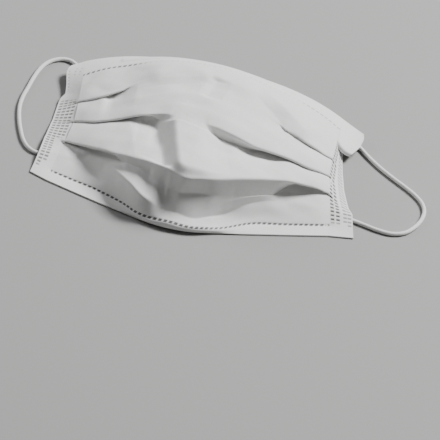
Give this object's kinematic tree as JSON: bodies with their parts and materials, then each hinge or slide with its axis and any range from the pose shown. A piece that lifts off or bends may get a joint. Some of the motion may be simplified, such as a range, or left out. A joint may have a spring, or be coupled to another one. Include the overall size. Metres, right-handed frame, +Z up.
{
  "type": "pleated ear-loop face mask",
  "caption": "Pleated nonwoven face mask with welded hems and side bands and round elastic ear loops, lying dome up on a surface.",
  "frame": {"origin": "under the middle of the cloth, on the surface that the mask lies on", "axes": "+X along the mask's width, towards the wearer's left ear; +Y from the chin edge to the nose edge; +Z up, out of the dome"},
  "size_m": [0.2119, 0.1162, 0.0289],
  "materials": {
    "outer_cloth": "matte",
    "hem_cloth": "matte",
    "welded_band": "satin",
    "elastic": "matte"
  },
  "bodies": {
    "root": {"mask_body": "outer_cloth", "bottom_hem": "hem_cloth", "top_hem": "hem_cloth", "side_band_left": "welded_band", "side_band_right": "welded_band", "ear_loop_left": "elastic", "ear_loop_right": "elastic"}
  },
  "joints": []
}
